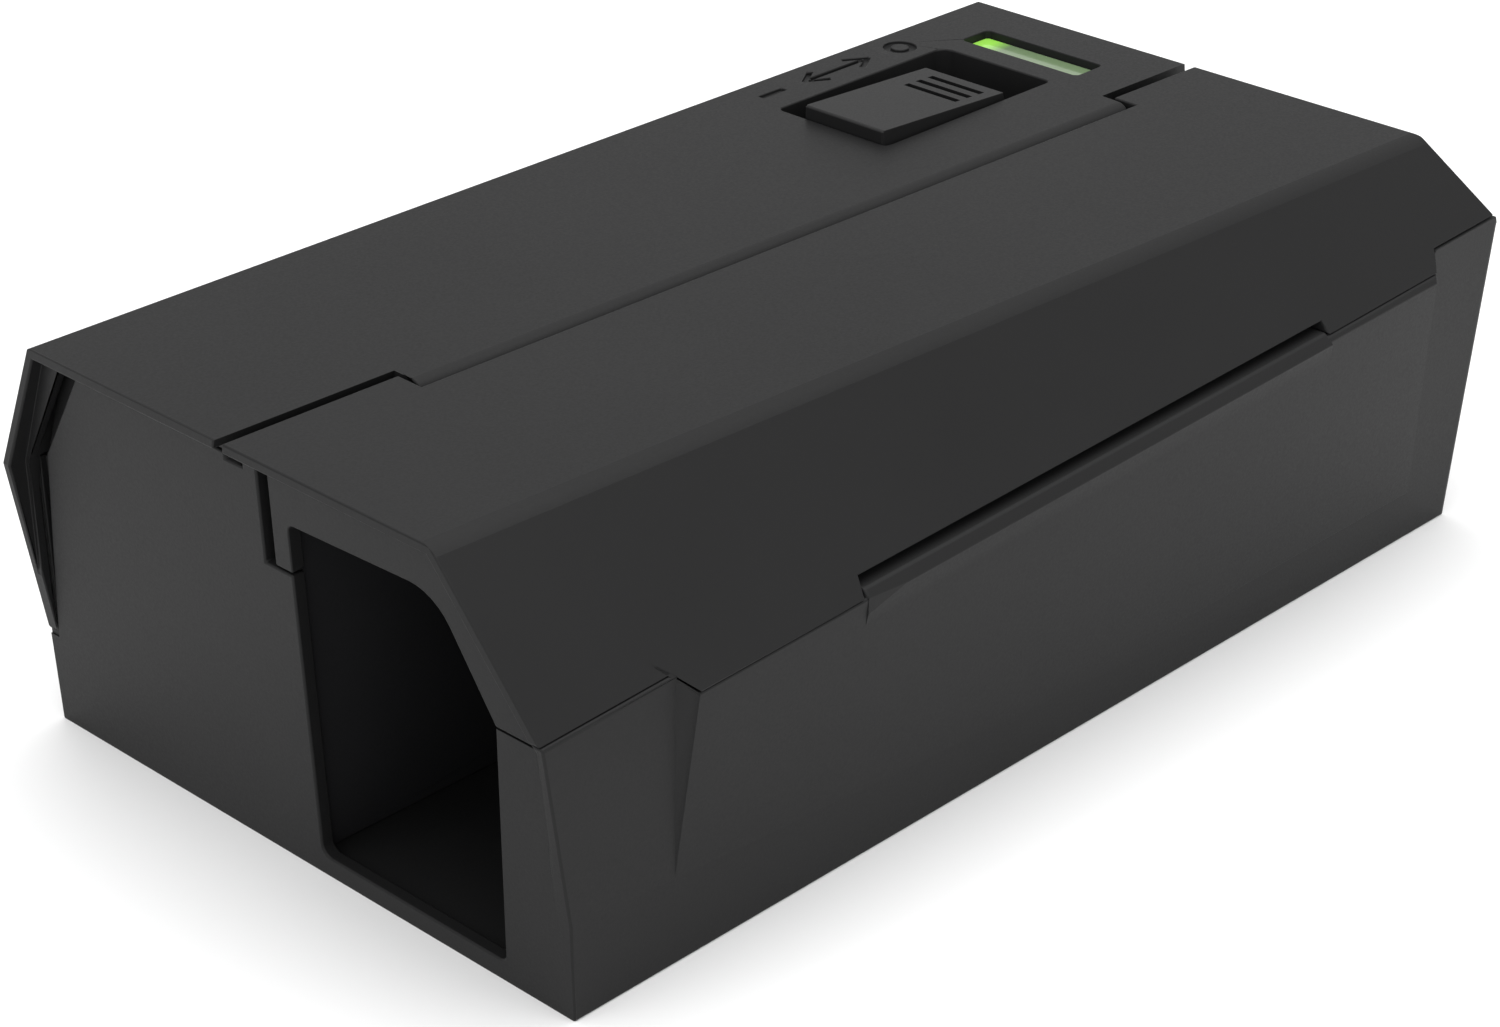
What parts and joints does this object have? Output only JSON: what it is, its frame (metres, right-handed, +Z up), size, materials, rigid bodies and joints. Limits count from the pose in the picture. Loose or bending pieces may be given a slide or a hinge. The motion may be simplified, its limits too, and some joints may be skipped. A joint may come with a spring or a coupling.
{
  "type": "electronic mouse trap",
  "caption": "Battery-powered bait station for mice: black moulded tunnel box with an end entrance, hinged lid, thumb slide switch, status window and steel floor plates.",
  "frame": {"origin": "middle of the case's floor face, on the plane the case stands on", "axes": "+X along the case away from the entrance end, +Y towards the control side with the slide switch, +Z up"},
  "size_m": [0.1896, 0.1053, 0.0601],
  "materials": {
    "base_black": "fine moulded texture, satin",
    "cover_black": "fine moulded texture, satin",
    "lid_black": "fine moulded texture, satin",
    "inner_black": "smooth moulded, matt",
    "pad_black": "fine moulded texture, satin",
    "cup_grey": "smooth moulded",
    "steel": "plain rolled sheet and wire",
    "board_green": "solder-masked glass fibre board",
    "chip_black": "moulded epoxy",
    "winding_amber": "taped winding on a ferrite core",
    "capacitor_blue": "shrink sleeve",
    "switch_metal": "pressed tin-plated shell",
    "led_green": "tinted epoxy",
    "lens_green": "clear tinted polycarbonate, lit from below",
    "cell_wrap": "plain sleeve, dark and amber",
    "wire_red": "flexible insulation",
    "plunger_red": "smooth acetal"
  },
  "bodies": {
    "housing": {"base_shell": "base_black", "control_cover": "cover_black", "chamber_divider": "inner_black", "baffle_front": "inner_black", "baffle_rear": "inner_black", "kill_plate_front": "steel", "kill_plate_middle": "steel", "kill_plate_rear": "steel", "bait_cup": "cup_grey", "circuit_board": "board_green", "control_chip": "chip_black", "hv_transformer": "winding_amber", "hv_capacitor": "capacitor_blue", "slide_switch_body": "switch_metal", "status_led": "led_green", "indicator_lens": "lens_green", "interlock_switch": "chip_black", "battery_tray": "inner_black", "battery_cell_1": "cell_wrap", "battery_cell_2": "cell_wrap", "battery_cell_3": "cell_wrap", "battery_cell_4": "cell_wrap", "battery_contacts": "steel", "battery_springs": "steel", "hinge_pin_front": "steel", "hinge_pin_rear": "steel", "plate_leads": "wire_red", "battery_leads": "wire_red", "housing_screws": "steel", "board_screws": "steel"},
    "lid": {"lid_shell": "lid_black"},
    "power_slider": {"switch_pad": "pad_black", "switch_actuator": "chip_black"},
    "interlock": {"interlock_plunger": "plunger_red"},
    "battery_cover": {"battery_door": "cover_black"}
  },
  "joints": [
    {"name": "lid_hinge", "type": "hinge", "parent": "housing", "child": "lid", "pos_m": [0.00006, 0.00217, 0.0563], "axis": [-0.9998, 0.0208, 0], "range_deg": [0, 90]},
    {"name": "power_slide", "type": "slide", "parent": "housing", "child": "power_slider", "axis": [1, 0, 0], "range_m": [0, 0.009]},
    {"name": "interlock_press", "type": "slide", "parent": "housing", "child": "interlock", "axis": [0, 0, 1], "range_m": [0, 0.002]},
    {"name": "battery_door_hinge", "type": "hinge", "parent": "housing", "child": "battery_cover", "pos_m": [0, 0.0494, 0.006], "axis": [-1, 0, 0], "range_deg": [0, 85]}
  ],
  "couplings": [
    {"joint": "interlock_press", "follows": "lid_hinge", "m_per_rad": 0.0012}
  ]
}
